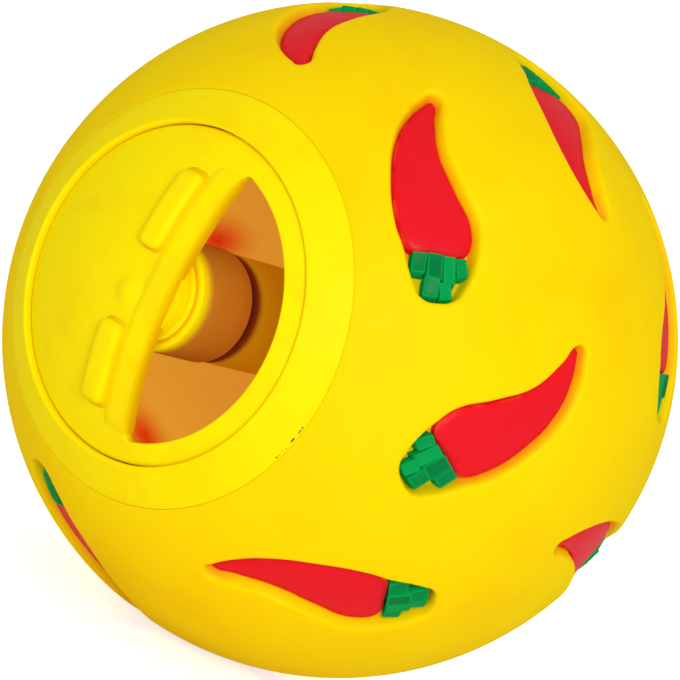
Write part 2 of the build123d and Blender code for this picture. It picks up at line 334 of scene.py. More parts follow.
def greenPaint():
    # Sprayed vinyl paint: glossy leaf green, with painted shade in the dented tops of some leaflets, patchy
    # with noise
    material, tree, shader, coords = newMaterial("greenVinylPaintSprayed")
    look = greenLook
    pool = addNode(tree, "ShaderNodeTexNoise", {"Scale": perMetre(look["pool"]), "Detail": 3},
                   {"Vector": coords})
    # painted shade on the dented tops of the leaflets
    paintedLeafShade = addNode(tree, "ShaderNodeAttribute", {"attribute_name": "paintedLeafShade"})
    patchy = addNode(tree, "ShaderNodeMath", {"operation": "MULTIPLY_ADD", 1: 0.6, 2: 0.5},
                     {0: pool.outputs["Fac"]})
    amount = addNode(tree, "ShaderNodeMath", {"operation": "MULTIPLY", "use_clamp": True},
                     {0: paintedLeafShade.outputs["Fac"], 1: patchy.outputs[0]})
    base = addNode(tree, "ShaderNodeMix",
                   {"data_type": "RGBA", 6: hexColour(look["colour"]), 7: hexColour(look["deep"])},
                   {0: amount.outputs[0]})
    tree.links.new(base.outputs[2], shader.inputs["Base Color"])
    finishSurface(tree, shader, look, coords, pool.outputs["Fac"])
    return material


steelLook = {"colour": "#C9CBCC", "grain": 0.35, "stretch": 0.15, "roughness": (0.22, 0.44)}


def platedSteel():
    # Zinc-plated steel: pale grey metal with a fine drawn grain
    material, tree, shader, coords = newMaterial("zincPlatedSteel")
    look = steelLook
    smoothest, roughest = look["roughness"]
    stretched = addNode(tree, "ShaderNodeMapping", {"Scale": (1, look["stretch"], 1)}, {"Vector": coords})
    grain = addNode(tree, "ShaderNodeTexNoise", {"Scale": perMetre(look["grain"]), "Detail": 2},
                    {"Vector": stretched.outputs[0]})
    gloss = addNode(tree, "ShaderNodeMapRange", {"To Min": smoothest, "To Max": roughest},
                    {"Value": grain.outputs["Fac"]})
    tree.links.new(gloss.outputs[0], shader.inputs["Roughness"])
    shader.inputs["Base Color"].default_value = hexColour(look["colour"])
    shader.inputs["Metallic"].default_value = 1
    return material


vinyl = softVinyl()
plastic = mouldedPlastic()
red = redPaint()
green = greenPaint()
steel = platedSteel()
print("materials made")

# Sizes read from the frame, in mm
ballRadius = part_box("ball_shell")[1].z / mm
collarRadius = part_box("mouth_collar")[1].x / mm
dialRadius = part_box("dial_plate")[1].x / mm
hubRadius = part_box("pivot_hub")[1].x / mm
hubTop = -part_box("pivot_hub")[0].y / mm
studEnd = -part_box("dial_plate")[1].y / mm
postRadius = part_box("centre_post")[1].x / mm
postTop = -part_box("centre_post")[0].y / mm
postFoot = -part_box("centre_post")[1].y / mm
skirtBottom = -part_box("mouth_collar")[1].y / mm
flangeBottom = -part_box("shutter_plate")[1].y / mm

# Peppers: turn round the dial's axis, angle from the dial, heading of the tip, and 1 for a mirror image
pepperPlaces = [
    (49, 53, 75, 1), (6, 66, 51, 0), (-43, 62, 223, 0), (103, 65, 201, 0), (-102, 61, 27, 1),
    (63, 89, 258, 0), (33, 109, 96, 0), (-16, 110, 167, 0), (-67, 103, 235, 0), (154, 74, 300, 0),
    (-146, 67, 240, 1), (109, 103, 60, 0), (150, 108, 165, 0), (179, 113, 345, 1), (-138, 103, 240, 1),
    (-55, 148, 60, 0), (45, 150, 100, 1), (127, 147, 255, 0), (-140, 147, 100, 0),
]
pepper = {
    "balance": 8.0,     # from the base of the body to the point that touches the ball
    "floor": 2.5,       # how deep the recess is
    "body": [(-0.2, -0.2), (0.25, 3.5), (3.3, 4.35), (8.4, 2.25), (13.6, 0.35), (19.0, 0.25),
             (21.5, 0.5), (22.0, 0.0), (21.4, -0.8), (19.4, -2.7), (15.4, -4.85), (9.2, -5.8),
             (2.9, -5.2), (0.25, -3.8)],
    "spine": [(3.4, -0.8), (8.4, -2.0), (13.6, -2.5), (18.0, -1.75), (20.8, -0.3)],
    "recess": [(22.25, 0.0), (21.7, 0.65), (19.0, 0.42), (13.6, 0.52), (8.5, 2.42), (3.4, 4.52),
               (0.4, 4.4), (-1.2, 4.15), (-2.8, 3.65), (-4.2, 2.95), (-5.4, 2.1), (-6.0, 0.1),
               (-5.6, -2.0), (-4.2, -2.9), (-2.8, -3.5), (-1.2, -4.0), (0.2, -4.4), (2.9, -5.38),
               (9.2, -5.97), (15.4, -5.02), (19.5, -2.87), (21.6, -0.9)],
    "resolution": 10,
    # how far out of the recess outline each loop of the wall lies, and how far under the ball's surface
    "wall": [(1.2, 0.0), (0.95, 0.03), (0.7, 0.13), (0.5, 0.32), (0.33, 0.62), (0.2, 0.98),
             (0.08, 1.36), (-0.05, 1.72), (-0.24, 2.15), (-0.45, 2.5)],
    # how far in from its outline each loop of the body lies, at most what share of the way, and its height
    "rise": [(0.0, 0.0, -0.25), (0.0, 0.0, 0.6), (0.05, 0.05, 0.9), (0.17, 0.12, 1.1), (0.38, 0.24, 1.23),
             (0.75, 0.38, 1.32), (1.4, 0.52, 1.4), (2.3, 0.66, 1.46), (3.2, 0.78, 1.49)],
    "glintLoops": (2, 3),     # a painted highlight lies on these loops of the body's shoulder
}


def curveOutline(points):
    curve = bpy.data.curves.new("outline", "CURVE")
    curve.dimensions = "3D"
    curve.resolution_u = pepper["resolution"]
    spline = curve.splines.new("BEZIER")
    spline.bezier_points.add(len(points) - 1)
    for knot, point in zip(spline.bezier_points, points):
        knot.co = (*point, 0)
        knot.handle_left_type = "AUTO"
        knot.handle_right_type = "AUTO"
    spline.use_cyclic_u = True
    holder = bpy.data.objects.new("outline", curve)
    bpy.context.scene.collection.objects.link(holder)
    seen = holder.evaluated_get(bpy.context.evaluated_depsgraph_get())
    mesh = bpy.data.meshes.new_from_object(seen)
    found = [vert.co.copy() for vert in mesh.vertices]
    bpy.data.meshes.remove(mesh)
    bpy.data.objects.remove(holder)
    bpy.data.curves.remove(curve)
    return found


def pepperAxes(place):
    turn, tilt, heading = (radians(angle) for angle in place[:3])
    out = Vector((sin(tilt) * cos(turn), -cos(tilt), sin(tilt) * sin(turn)))
    away = Vector((cos(tilt) * cos(turn), sin(tilt), cos(tilt) * sin(turn)))
    around = Vector((-sin(turn), 0, cos(turn)))
    ahead = away * cos(heading) + around * sin(heading)
    across = out.cross(ahead) * (-1 if place[3] else 1)
    return ahead, across, out


def onBall(axes, x, y, sphereRadius):
    ahead, across, out = axes
    along = x - pepper["balance"]
    return (ahead * along + across * y + out * sqrt(sphereRadius ** 2 - along ** 2 - y ** 2)) * mm


# The ball: one turned shell with its mouth, neck and post socket, then a recess worked in for each pepper
ball = {"wall": 3.8, "fit": 0.05, "rimOverlap": 0.02, "rimRound": 0.28, "seat": 34.07,
        "neckBottom": 31.12, "neckRadius": 23.35, "socketRadius": 10.1, "socketTop": -36.2,
        "around": 240, "outside": 96, "inside": 72}
ballInside = ballRadius - ball["wall"]

# How strong stray paint and painted red bounce light are round a pepper, and over which depths, sides and
# lengths in mm
strayPaint = {"leafEnd": (-1.2, 0.4), "leaf": 0.3, "leafDepth": (0.6, 2.3),
              "wall": 0.25, "roundWall": 0.5, "wallDepth": (0.9, 2.3), "wallSide": (-1.0, 3.0),
              "edge": 0.45, "edgeDepth": (0.1, 1.3), "edgeSide": (1.5, 4.5), "tip": (17, 21)}
# The red spot that a pepper throws through the wall
redSpot = {"along": 8, "across": 0.5, "stretch": 1.5, "fade": (-0.5, 5.0), "layer": 0.5}


def cutRecess(bm, place, outline, normals, owner, number):
    axes = pepperAxes(place)
    ahead, across, out = axes
    loops = []
    for outward, depth in pepper["wall"]:
        moved = [point + normal * outward for point, normal in zip(outline, normals)]
        loops.append([onBall(axes, p.x, p.y, ballRadius - depth) for p in moved])
    # the plain ball's points under the outermost loop are taken away
    widest = pepper["wall"][0][0]
    rim = [point + normal * widest for point, normal in zip(outline, normals)]
    lid = BVHTree.FromPolygons(rim, [list(range(len(rim)))])
    nearby = 0.7 * ballRadius     # along the way out
    outerSkin = ballRadius - 1
    under = []
    for vert in bm.verts:
        spot = vert.co / mm
        if spot.dot(out) > nearby and spot.length > outerSkin:
            above = Vector((spot.dot(ahead) + pepper["balance"], spot.dot(across), 1))
            if lid.ray_cast(above, Vector((0, 0, -1)))[0]:
                under.append(vert)
    bmesh.ops.delete(bm, geom=under, context="VERTS")
    ragged = [edge for edge in bm.edges if edge.is_boundary]
    others = set(bm.verts)
    firstEdges, lastEdges = growLoops(bm, loops)
    for vert in set(bm.verts) - others:
        vert[owner] = number
    bmesh.ops.triangle_fill(bm, edges=ragged + firstEdges, use_beauty=True, normal=out)
    bmesh.ops.triangle_fill(bm, edges=lastEdges, use_beauty=True, normal=out)


def paintBall(bm, owner):
    # how much paint has drifted onto each point of the recesses, how much red bounce light is painted on
    # their walls, and how much red shows through from inside
    redSprayAndBounce = bm.verts.layers.float.new("redSprayAndBounce")
    leafBlush = bm.verts.layers.float.new("leafBlush")
    redGlow = bm.verts.layers.float.new("redGlow")
    inside = bm.verts.layers.float.new("inside")
    placed = [pepperAxes(place) for place in pepperPlaces]
    stray = strayPaint
    for vert in bm.verts:
        spot = vert.co / mm
        depth = ballRadius - spot.length
        if vert[owner]:
            ahead, across, out = placed[vert[owner] - 1]
            x = spot.dot(ahead) + pepper["balance"]
            roundSide = -spot.dot(across)
            leaf = 1 - ease(x, *stray["leafEnd"])
            # painted red light bounced off the pepper, deeper down the wall and stronger on its round side
            wall = stray["wall"] + stray["roundWall"] * ease(roundSide, *stray["wallSide"])
            wall *= ease(depth, *stray["wallDepth"])
            # overspray along the rim on the round side and at the tip
            edge = stray["edge"] * max(ease(roundSide, *stray["edgeSide"]), ease(x, *stray["tip"]))
            edge *= ease(depth, *stray["edgeDepth"])
            vert[redSprayAndBounce] = max(wall, edge) * (1 - leaf)
            vert[leafBlush] = stray["leaf"] * ease(depth, *stray["leafDepth"]) * leaf
        elif depth > ball["wall"] - redSpot["layer"]:
            vert[inside] = 1
            for ahead, across, out in placed:
                if depth < ball["wall"] + redSpot["layer"] and spot.dot(out) > 0.8 * ballInside:
                    along = (spot.dot(ahead) + pepper["balance"] - redSpot["along"]) / redSpot["stretch"]
                    away = sqrt(along ** 2 + (spot.dot(across) - redSpot["across"]) ** 2)
                    vert[redGlow] = max(vert[redGlow], 1 - ease(away, *redSpot["fade"]))


def makeBall():
    mouth = collarRadius - ball["rimOverlap"]
    socketBore = postRadius + ball["fit"]
    rim = ball["rimRound"]
    rimHeight = heightOn(ballRadius, mouth)
    profile = [(mouth, ball["seat"]), (mouth, rimHeight - rim), (mouth + 0.3 * rim, rimHeight - 0.45 * rim)]
    profile += arcOn(ballRadius, asin((mouth + rim) / ballRadius), pi, ball["outside"])
    profile += [(0, postFoot), (socketBore, postFoot), (socketBore, ball["socketTop"])]
    profile += [(ball["socketRadius"], ball["socketTop"])]
    profile += arcOn(ballInside, pi - asin(ball["socketRadius"] / ballInside),
                     acos(ball["neckBottom"] / ballInside), ball["inside"])
    profile += [(ball["neckRadius"], ball["neckBottom"]), (ball["neckRadius"], ball["seat"])]
    bm = bmesh.new()
    # a new layer remakes the vertices, so both layers are there before the recesses are cut
    owner = bm.verts.layers.int.new("owner")
    bm.verts.layers.int.new("order")
    spinProfile(bm, profile, ball["around"])
    outline = curveOutline(pepper["recess"])
    normals = outwardNormals(outline)
    for i, place in enumerate(pepperPlaces):
        cutRecess(bm, place, outline, normals, owner, i + 1)
    leftOver = [edge for edge in bm.edges if edge.is_wire]
    bmesh.ops.delete(bm, geom=leftOver, context="EDGES")
    bmesh.ops.remove_doubles(bm, verts=bm.verts, dist=weld)
    bmesh.ops.recalc_face_normals(bm, faces=bm.faces)
    paintBall(bm, owner)
    print("open edges of the ball:", sum(1 for edge in bm.edges if not edge.is_manifold))
    finishPiece(bm, "vinylBall", "ball", ["ball_shell"], vinyl)


makeBall()

# Pepper bodies and calyxes are modelled flat once, as x, y and height over the recess floor in mm, and then
# pressed onto the ball
calyx = {
    # middle, length, width, turn in degrees, height, lean of the top, painted shade
    "leaflets": [(-1.5, -2.6, 2.6, 1.9, 5, 1.75, 0.14, 0.8), (-1.9, -0.6, 3.2, 2.2, 0, 2.0, -0.1, 1.0),
                 (-2.1, 1.3, 3.4, 1.8, -3, 1.8, -0.16, 0.15), (-1.6, 2.95, 2.4, 1.6, -10, 1.55, -0.12, 0.4)],
    "stalk": [(-4.4, -0.9, 2.4, 2.1, 5, 1.75, 0.12, 0.7), (-4.6, 1.0, 2.2, 1.8, -8, 1.55, -0.14, 0.1)],
    "root": 0.2, "taper": (0.92, 0.9, 1), "tipLean": 0.06, "dent": 0.1, "dentBorder": 0.36, "round": 0.16,
}


def nearestOnSpine(point):
    spine = [Vector((*knot, 0)) for knot in pepper["spine"]]
    spots = []
    for a, b in zip(spine, spine[1:]):
        spot, share = intersect_point_line(point, a, b)
        spots.append(a.lerp(b, min(max(share, 0), 1)))
    return min(spots, key=lambda spot: (spot - point).length)


def flatMesh(bm, name):
    mesh = bpy.data.meshes.new(name)
    bm.to_mesh(mesh)
    bm.free()
    return mesh


def flatBody():
    bm = bmesh.new()
    outline = curveOutline(pepper["body"])
    spine = [nearestOnSpine(point) for point in outline]
    loops = []
    for inward, most, height in pepper["rise"]:
        loop = []
        for point, target in zip(outline, spine):
            way = target - point
            share = min(inward / way.length, most)
            loop.append(point + way * share + Vector((0, 0, height)))
        loops.append(loop)
    shoulderGlint = bm.verts.layers.float.new("shoulderGlintAmount")
    firstEdges, lastEdges = growLoops(bm, loops)
    # the painted shoulder highlight lies on these loops
    low, high = (pepper["rise"][i][2] for i in pepper["glintLoops"])
    for vert in bm.verts:
        vert[shoulderGlint] = 1 if low - 0.01 < vert.co.z < high + 0.01 else 0
    bmesh.ops.triangle_fill(bm, edges=firstEdges, use_beauty=True, normal=(0, 0, -1))
    bmesh.ops.triangle_fill(bm, edges=lastEdges, use_beauty=True, normal=(0, 0, 1))
    bmesh.ops.recalc_face_normals(bm, faces=bm.faces)
    return flatMesh(bm, "flatBody")


def flatCalyx():
    bm = bmesh.new()
    paintedLeafShade = bm.verts.layers.float.new("paintedLeafShade")
    root = calyx["root"]
    for x, y, length, width, turn, height, lean, leafShade in calyx["leaflets"] + calyx["stalk"]:
        place = Matrix.Translation((x, y, (height - root) / 2)) @ Matrix.Rotation(radians(turn), 4, "Z")
        size = Matrix.Diagonal((length, width, height + root, 1))
        block = bmesh.ops.create_cube(bm, size=1, matrix=place @ size)
        faces = {face for vert in block["verts"] for face in vert.link_faces}
        top = max(faces, key=lambda face: face.calc_center_median().z)
        aboutTop = Matrix.Translation(-top.calc_center_median())
        bmesh.ops.scale(bm, vec=calyx["taper"], verts=top.verts, space=aboutTop)
        for vert in top.verts:
            vert.co.z += lean * (vert.co.y - y) + calyx["tipLean"] * (vert.co.x - x)
        bmesh.ops.inset_individual(bm, faces=[top], thickness=calyx["dentBorder"], depth=-calyx["dent"])
        # painted shade on the dented top of each leaflet
        for vert in top.verts:
            vert[paintedLeafShade] = leafShade
    sharp = [edge for edge in bm.edges if edge.calc_face_angle(0) > radians(20)]
    bmesh.ops.bevel(bm, geom=sharp, offset=calyx["round"], affect="EDGES", segments=2, profile=0.5,
                    material=-1, clamp_overlap=True)
    return flatMesh(bm, "flatCalyx")


def pressOnBall(flat, name, node, material):
    bm = bmesh.new()
    for place in pepperPlaces:
        axes = pepperAxes(place)
        bm.from_mesh(flat)
        bm.verts.ensure_lookup_table()
        for vert in bm.verts[-len(flat.vertices):]:
            vert.co = onBall(axes, vert.co.x, vert.co.y, ballRadius - pepper["floor"] + vert.co.z)
    bmesh.ops.recalc_face_normals(bm, faces=bm.faces)
    bpy.data.meshes.remove(flat)
    finishPiece(bm, name, "ball", [node], material)


pressOnBall(flatBody(), "pepperBodies", "pepper_bodies", red)
pressOnBall(flatCalyx(), "pepperCalyxes", "pepper_calyxes", green)

# The collar that snaps into the mouth
collar = {"inner": 21.69, "crest": 0.35, "lipRound": (0.1, 0.12), "seat": 34.07, "bandSteps": 12,
          "ledgeSphere": 42.0, "ledgeRings": (21.2, 20.5, 19.9), "ledgeInner": 19.25, "ledgeBottom": 34.73,
          "skirtInner": 21.3, "skirtOuter": 23.3, "bead": 0.7, "beadTop": 30.92,
          "around": 192, "round": 0.22}


def makeCollar():
    crestRadius = collar["inner"] + collar["crest"]
    profile = [(collarRadius, collar["seat"])]
    for i in range(collar["bandSteps"] + 1):
        share = i / collar["bandSteps"]
        radius = collarRadius + (crestRadius - collarRadius) * share
        profile.append((radius, heightOn(ballRadius + collar["crest"] * share, radius)))
    lip = profile[-1][1]
    across, down = collar["lipRound"]
    profile += [(collar["inner"] + across, lip - down), (collar["inner"], lip - collar["crest"])]
    profile += [(radius, heightOn(collar["ledgeSphere"], radius))
                for radius in (collar["inner"], *collar["ledgeRings"], collar["ledgeInner"])]
    profile += [(collar["ledgeInner"], collar["ledgeBottom"]), (collar["skirtInner"], collar["ledgeBottom"]),
                (collar["skirtInner"], skirtBottom), (collar["skirtOuter"], skirtBottom),
                (collar["skirtOuter"] + collar["bead"], (skirtBottom + collar["beadTop"]) / 2),
                (collar["skirtOuter"], collar["beadTop"]), (collar["skirtOuter"], collar["seat"])]
    bm = bmesh.new()
    spinProfile(bm, profile, collar["around"])
    roundEdges(bm, collar["round"])
    finishPiece(bm, "mouthCollar", "ball", ["mouth_collar"], plastic)


makeCollar()

# The dial: a domed plate with a D-shaped window, a bar along its straight edge, two finger ridges and a boss
dial = {"top": 43.9, "thickness": 1.6, "rim": 2.7, "rimRound": 0.45, "underRound": 0.2,
        "windowEdge": 4.5, "corner": 0.8, "lip": 0.4, "spread": 0.05, "crowding": 1.2,
        "edgeSteps": 72, "arcSteps": 90, "cornerSteps": 6, "across": 40, "underneath": 8,
        "barWidth": 3.2, "barLength": 34.6, "barRise": 0.35, "barCorner": 0.9, "barFold": 1.5,
        "ridgeWidth": 3.5, "ridgeLength": 10.6, "ridgeRise": 1.6, "ridgeCorner": 1.1,
        "ridgeOffset": -0.9, "ridgeSpread": 10.4, "outlineStep": 0.45,
        "bossRadius": 2.5, "bossRise": 0.6, "bossLean": (1.3, -1.6), "bossSteps": 14, "bossRoot": 1,
        "padRadius": 5.6, "padFace": 40.93, "padRoot": 1.3, "studRadius": 3.0, "around": 64,
        "pilotRadius": 1.25, "pilotEnd": 0.6}
# How much painted shade goes at the ridges' feet, at the bar's edge over the window and down its side
dialPaintedShade = {"ridgeFootShade": 0.6, "ridgeHeights": (0.1, 1.2), "barEdge": 0.3, "barEdgeWidth": 1.2,
            "barSide": 0.65, "barDepths": (-0.2, 1.5)}


def windowPoints():
    # the straight edge upwards, a corner, the round edge and the other corner, with their angles on the rim
    edge = dial["windowEdge"]
    corner = dial["corner"]
    windowRadius = dialRadius - dial["rim"]
    middleX = edge + corner
    middleZ = sqrt((windowRadius - corner) ** 2 - middleX ** 2)
    turn = atan2(middleZ, middleX)
    widened = turn + dial["spread"]
    found = []
    for i in range(dial["edgeSteps"]):
        share = i / dial["edgeSteps"]
        found.append((edge, middleZ * (2 * share - 1), -widened - share * (2 * pi - 2 * widened)))
    for i in range(dial["cornerSteps"]):
        share = i / dial["cornerSteps"]
        angle = pi + (turn - pi) * share
        onRim = widened - dial["spread"] * share
        found.append((middleX + corner * cos(angle), middleZ + corner * sin(angle), onRim))
    for i in range(dial["arcSteps"]):
        angle = turn - 2 * turn * i / dial["arcSteps"]
        found.append((windowRadius * cos(angle), windowRadius * sin(angle), angle))
    for i in range(dial["cornerSteps"]):
        share = i / dial["cornerSteps"]
        angle = -turn - (pi - turn) * share
        onRim = -turn - dial["spread"] * share
        found.append((middleX + corner * cos(angle), -middleZ + corner * sin(angle), onRim))
    return found


def onDome(x, z, sphereRadius):
    return Vector((x, -sqrt(sphereRadius ** 2 - x * x - z * z), z)) * mm


def makeDialPlate(bm):
    points = windowPoints()
    inner = [Vector((x, z, 0)) for x, z, angle in points]
    rim = [Vector((cos(angle), sin(angle), 0)) for x, z, angle in points]
    solid = outwardNormals(inner)
    top = dial["top"]
    under = top - dial["thickness"]
    lip = dial["lip"]
    edge = dial["rimRound"]
    chamfer = dial["underRound"]

    def nearWindow(outward, sphere):
        return [onDome(*(p + n * outward).xy, sphere) for p, n in zip(inner, solid)]

    def nearRim(radius, sphere):
        return [onDome(*(r * radius).xy, sphere) for r in rim]

    def between(fromOutward, toRadius, share, sphere):
        return [onDome(*(p + n * fromOutward).lerp(r * toRadius, share).xy, sphere)
                for p, n, r in zip(inner, solid, rim)]

    quarter = [radians(angle) for angle in (15, 30, 45, 60, 75, 90)]
    loops = [nearWindow(chamfer, under), nearWindow(0, under + chamfer), nearWindow(0, top - lip)]
    loops += [nearWindow(lip * (1 - cos(a)), top - lip * (1 - sin(a))) for a in quarter]
    for i in range(1, dial["across"]):
        loops.append(between(lip, dialRadius - edge, (i / dial["across"]) ** dial["crowding"], top))
    loops += [nearRim(dialRadius - edge * (1 - sin(a)), top - edge * (1 - cos(a))) for a in [0] + quarter]
    loops += [nearRim(dialRadius, under + chamfer), nearRim(dialRadius - chamfer, under)]
    for i in range(dial["underneath"] - 1, 0, -1):
        loops.append(between(chamfer, dialRadius - chamfer, i / dial["underneath"], under))
    loops.append(loops[0])
    growLoops(bm, loops)


def roundedLoop(width, length, corner):
    turns = []
    for quarter, (wayX, wayZ) in enumerate(((1, 1), (-1, 1), (-1, -1), (1, -1))):
        middle = Vector((wayX * (width / 2 - corner), wayZ * (length / 2 - corner), 0))
        for angle in range(90 * quarter, 90 * quarter + 91, 15):
            turns.append(middle + Vector((cos(radians(angle)), sin(radians(angle)), 0)) * corner)
    found = []
    for a, b in zip(turns, turns[1:] + turns[:1]):
        pieces = max(1, round((b - a).length / dial["outlineStep"]))
        found += [a.lerp(b, i / pieces) for i in range(pieces)]
    return found


def raiseOnDome(bm, outline, middleX, middleZ, profile, stopAt=None):
    # profile: how far out of the outline each loop lies, and its height over the dome.
    # What reaches past stopAt is folded down over the window's edge
    normals = outwardNormals(outline)
    loops = []
    for outward, height in profile:
        loop = []
        for point, normal in zip(outline, normals):
            x = middleX + point.x + normal.x * outward
            z = middleZ + point.y + normal.y * outward
            lower = 0
            if stopAt is not None and x > stopAt:
                lower = dial["barFold"] * (x - stopAt)
                x = stopAt
            loop.append(onDome(x, z, dial["top"] + height - lower))
        loops.append(loop)
    others = set(bm.verts)
    firstEdges, lastEdges = growLoops(bm, loops)
    raised = set(bm.verts) - others
    bmesh.ops.triangle_fill(bm, edges=lastEdges, use_beauty=True, normal=(0, -1, 0))
    bmesh.ops.triangle_fill(bm, edges=firstEdges, use_beauty=True, normal=(0, 1, 0))
    return raised


def addBar(bm, paintedShade):
    rise = dial["barRise"]
    profile = [(0.9, -0.4), (0.8, -0.05), (0.5, 0.02), (0.2, rise * 0.3), (-0.1, rise * 0.65),
               (-0.45, rise * 0.92), (-0.85, rise)]
    outline = roundedLoop(dial["barWidth"], dial["barLength"], dial["barCorner"])
    edge = dial["windowEdge"] + 0.02     # just past the plate's own edge
    for vert in raiseOnDome(bm, outline, dial["windowEdge"] - dial["barWidth"] / 2, 0, profile, edge):
        # painted shade at the bar's edge over the window and down its side
        depth = dial["top"] - vert.co.length / mm
        nearEdge = ease(vert.co.x / mm, edge - dialPaintedShade["barEdgeWidth"], edge)
        downSide = ease(depth, *dialPaintedShade["barDepths"])
        vert[paintedShade] = dialPaintedShade["barEdge"] * nearEdge + dialPaintedShade["barSide"] * downSide


def addRidges(bm, paintedShade):
    rise = dial["ridgeRise"]
    profile = [(0.7, -0.5), (0.6, -0.06), (0.3, 0.08), (0.1, 0.3), (0.02, 0.6), (0.0, rise - 0.65),
               (-0.1, rise - 0.36), (-0.3, rise - 0.14), (-0.58, rise - 0.03), (-0.95, rise)]
    outline = roundedLoop(dial["ridgeWidth"], dial["ridgeLength"], dial["ridgeCorner"])
    for way in (-1, 1):
        for vert in raiseOnDome(bm, outline, dial["ridgeOffset"], way * dial["ridgeSpread"], profile):
            # painted shade at the ridges' feet
            height = vert.co.length / mm - dial["top"]
            vert[paintedShade] = dialPaintedShade["ridgeFootShade"] * (1 - ease(height, *dialPaintedShade["ridgeHeights"]))


def addBoss(bm):
    root = dial["top"] - dial["bossRoot"]
    profile = [(0, root)]
    for i in range(dial["bossSteps"] + 1):
        share = i / dial["bossSteps"]
        radius = dial["bossRadius"] * share
        swell = dial["bossRise"] * (1 - share ** 2) ** 2
        profile.append((radius, heightOn(dial["top"], radius) + swell - 0.004))     # its edge sinks in
    profile.append((dial["bossRadius"], root))
    others = set(bm.verts)
    spinProfile(bm, profile, dial["around"])
    leanX, leanZ = (radians(angle) for angle in dial["bossLean"])
    lean = Matrix.Rotation(leanZ, 3, "Z") @ Matrix.Rotation(leanX, 3, "X")
    bmesh.ops.rotate(bm, verts=[vert for vert in bm.verts if vert not in others], matrix=lean)


def addStud(bm):
    face = dial["padFace"]
    root = face + dial["padRoot"]
    pilotEnd = face + dial["pilotEnd"]
    profile = [(0, root), (dial["padRadius"], root), (dial["padRadius"], face), (dial["studRadius"], face),
               (dial["studRadius"], studEnd), (dial["pilotRadius"], studEnd),
               (dial["pilotRadius"], pilotEnd), (0, pilotEnd)]
    spinProfile(bm, profile, dial["around"])


def makeDial():
    bm = bmesh.new()
    makeDialPlate(bm)
    paintedShade = bm.verts.layers.float.new("paintedShade")
    addBar(bm, paintedShade)
    addRidges(bm, paintedShade)
    bmesh.ops.remove_doubles(bm, verts=bm.verts, dist=weld)
    addBoss(bm)
    addStud(bm)
    finishPiece(bm, "turningDial", "dial", ["dial_plate"], plastic)


makeDial()

# The hub that the dial's stud turns in: painted amber light below its lip, and painted shade round its
# raised disc
hub = {"bore": 3.05, "disc": 6.35, "discRise": 0.4, "ledge": 0.5, "bottom": 29.98, "neck": 6.3,
       "spigot": 5.95, "spigotEnd": 22.68, "well": 4.9, "webBottom": 33.88, "around": 128, "round": 0.18,
       "rings": (0.6, 1.1, 1.7, 2.4), "insideLightBelow": (0.4, 2.4),
       "tintBeside": (0.1, 0.45), "tintBelow": (0, 0.3)}


def makeHub():
    lip = hubTop - hub["discRise"]
    profile = [(hub["bore"], hubTop), (hub["disc"], hubTop), (hub["disc"], lip),
               (hub["disc"] + hub["ledge"], lip), (hubRadius, lip)]
    profile += [(hubRadius, lip - below) for below in hub["rings"]]
    profile += [(hubRadius, hub["bottom"]), (hub["neck"], hub["bottom"]), (hub["neck"], postTop),
                (hub["spigot"], postTop), (hub["spigot"], hub["spigotEnd"]), (hub["well"], hub["spigotEnd"]),
                (hub["well"], hub["webBottom"]), (hub["bore"], hub["webBottom"])]
    bm = bmesh.new()
    spinProfile(bm, profile, hub["around"])
    roundEdges(bm, hub["round"])
    amberInsideLight = bm.verts.layers.float.new("amberInsideLight")
    paintedShade = bm.verts.layers.float.new("paintedShade")
    # painted amber light below the lip, and painted shade round the raised disc
    for vert in bm.verts:
        height = -vert.co.y / mm
        fromDisc = abs(sqrt(vert.co.x ** 2 + vert.co.z ** 2) / mm - hub["disc"])
        vert[amberInsideLight] = ease(lip - height, *hub["insideLightBelow"])
        vert[paintedShade] = (1 - ease(fromDisc, *hub["tintBeside"])) * ease(hubTop - height, *hub["tintBelow"])
    finishPiece(bm, "pivotHub", "ball", ["pivot_hub"], plastic)


makeHub()

# The post under it, painted amber for the light inside the ball, and painted shade near the top under the
# hub
post = {"bore": 6.0, "around": 128, "round": 0.3, "rings": (0.5, 0.9, 1.4, 2.0), "amberInsideLight": 0.5,
        "shadeBelow": (0.1, 1.8)}


def makePost():
    profile = [(post["bore"], postTop), (postRadius, postTop)]
    profile += [(postRadius, postTop - below) for below in post["rings"]]
    profile += [(postRadius, postFoot), (post["bore"], postFoot)]
    bm = bmesh.new()
    spinProfile(bm, profile, post["around"])
    roundEdges(bm, post["round"])
    amberInsideLight = bm.verts.layers.float.new("amberInsideLight")
    shade = bm.verts.layers.float.new("shade")
    # painted amber light all over, and painted shade near the top under the hub
    for vert in bm.verts:
        vert[amberInsideLight] = post["amberInsideLight"]
        vert[shade] = 1 - ease(postTop + vert.co.y / mm, *post["shadeBelow"])
    finishPiece(bm, "centrePost", "ball", ["centre_post"], plastic)


makePost()

# The half-moon shutter that the dial turns over
shutter = {"edge": -3.6, "notch": 7.7, "top": 42.0, "under": 40.2, "rimOuter": 19.15, "rimInner": 17.55,
           "flange": 21.2, "flangeTop": 34.73, "around": 160, "steps": 8, "round": 0.25}


